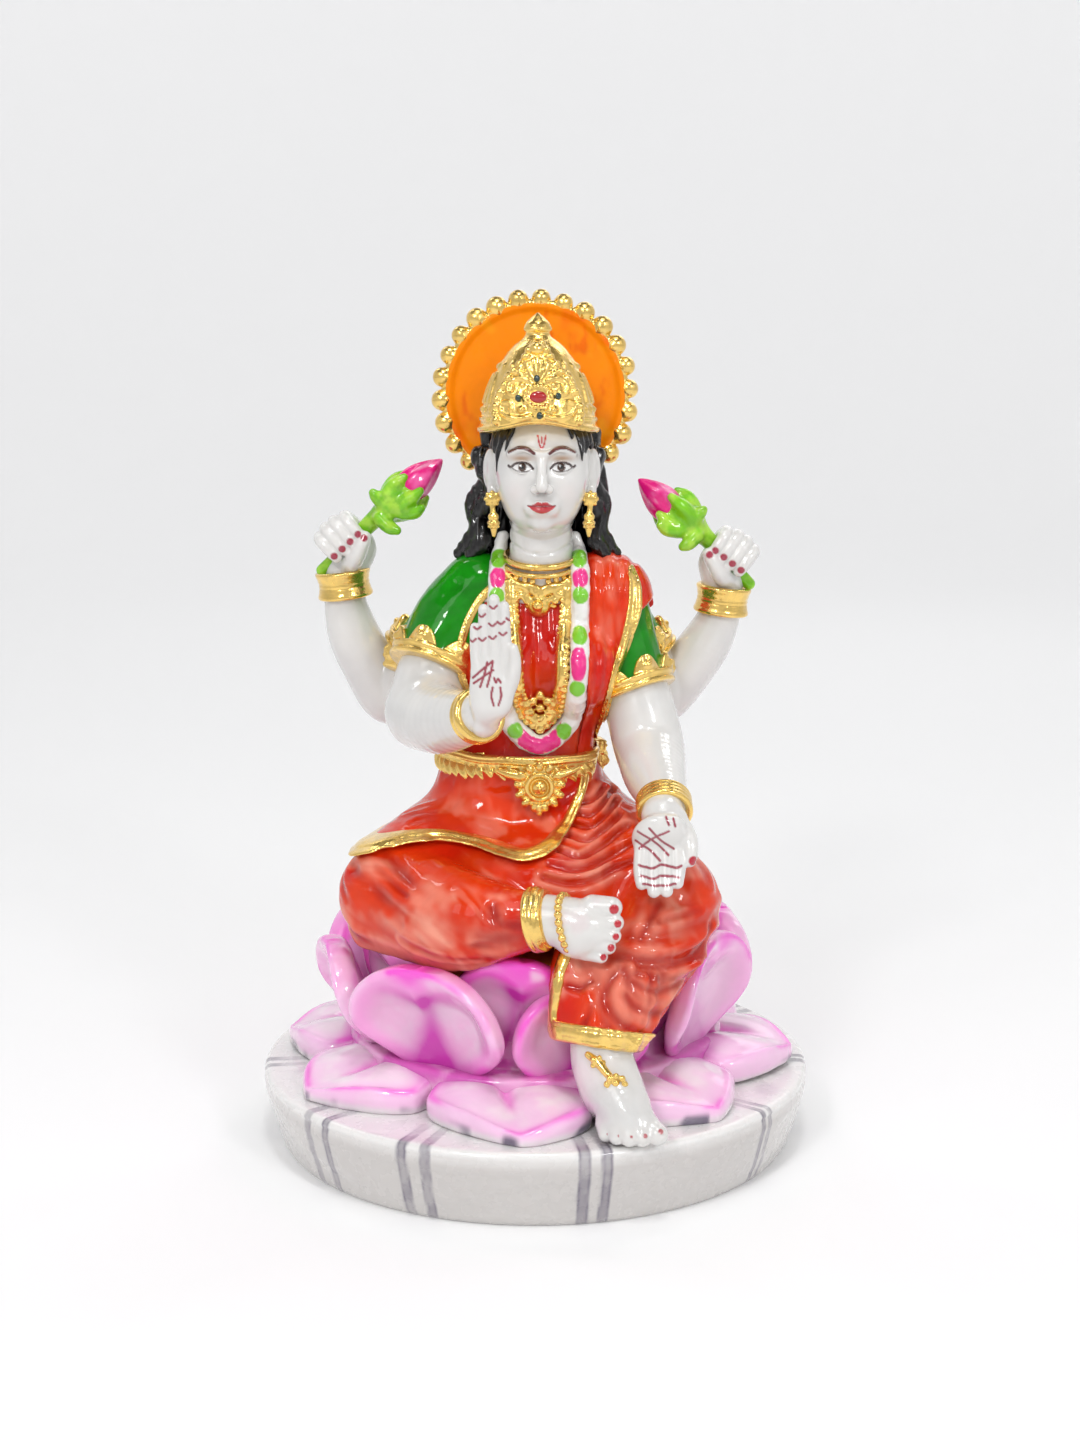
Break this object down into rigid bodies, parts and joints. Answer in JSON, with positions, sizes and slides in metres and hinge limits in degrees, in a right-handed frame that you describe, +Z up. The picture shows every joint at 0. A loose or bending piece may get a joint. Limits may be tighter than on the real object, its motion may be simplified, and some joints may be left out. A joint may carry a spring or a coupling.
{
  "type": "deity statue",
  "caption": "Seated four-armed goddess statue in glossy painted marble-dust resin, on a two-tier pink lotus and a round white plinth, with an orange beaded halo.",
  "frame": {"origin": "centre of the plinth's underside", "axes": "+X to the right of somebody facing the statue, -Y towards them, +Z up; the statue faces -Y"},
  "size_m": [0.13, 0.13, 0.1999],
  "materials": {
    "white_resin": "glossy cast marble resin with grey painted stripes",
    "skin_resin": "glossy white cast resin with fine painted lines",
    "petal_paint": "glossy lilac and magenta paint on white resin",
    "sari_paint": "glossy red-orange marbled lacquer",
    "sleeve_paint": "glossy green lacquer",
    "gold_paint": "gold paint under gloss lacquer",
    "halo_paint": "glossy orange paint",
    "hair_paint": "glossy black paint",
    "bud_paint": "glossy fluorescent pink paint",
    "calyx_paint": "glossy lime green paint",
    "garland_paint": "white paint dotted with green and pink"
  },
  "bodies": {
    "root": {"base_plinth": "white_resin", "head": "skin_resin", "right_front_arm": "skin_resin", "left_front_arm": "skin_resin", "right_rear_arm": "skin_resin", "left_rear_arm": "skin_resin", "right_front_hand": "skin_resin", "left_front_hand": "skin_resin", "right_rear_hand": "skin_resin", "left_rear_hand": "skin_resin", "right_foot": "skin_resin", "left_foot": "skin_resin", "lotus_receptacle": "petal_paint", "lower_petal_1": "petal_paint", "lower_petal_2": "petal_paint", "lower_petal_3": "petal_paint", "lower_petal_4": "petal_paint", "lower_petal_5": "petal_paint", "lower_petal_6": "petal_paint", "lower_petal_7": "petal_paint", "lower_petal_8": "petal_paint", "upper_petal_1": "petal_paint", "upper_petal_2": "petal_paint", "upper_petal_3": "petal_paint", "upper_petal_4": "petal_paint", "upper_petal_5": "petal_paint", "upper_petal_6": "petal_paint", "upper_petal_7": "petal_paint", "upper_petal_8": "petal_paint", "sari_skirt": "sari_paint", "bodice": "sari_paint", "shoulder_drape": "sari_paint", "right_sleeve": "sleeve_paint", "left_sleeve": "sleeve_paint", "crown": "gold_paint", "crown_front_plate": "gold_paint", "halo_bead_rim": "gold_paint", "right_earring": "gold_paint", "left_earring": "gold_paint", "right_sleeve_trim": "gold_paint", "left_sleeve_trim": "gold_paint", "right_front_bangle": "gold_paint", "left_front_bangles": "gold_paint", "right_rear_bracelet": "gold_paint", "left_rear_bracelet": "gold_paint", "choker": "gold_paint", "long_necklace": "gold_paint", "waist_belt": "gold_paint", "belt_buckle": "gold_paint", "drape_border": "gold_paint", "skirt_border": "gold_paint", "right_ankle_cuff": "gold_paint", "left_hem_band": "gold_paint", "halo_disc": "halo_paint", "hair": "hair_paint", "right_lotus_bud": "bud_paint", "left_lotus_bud": "bud_paint", "right_bud_calyx": "calyx_paint", "left_bud_calyx": "calyx_paint", "flower_garland": "garland_paint"}
  },
  "joints": []
}
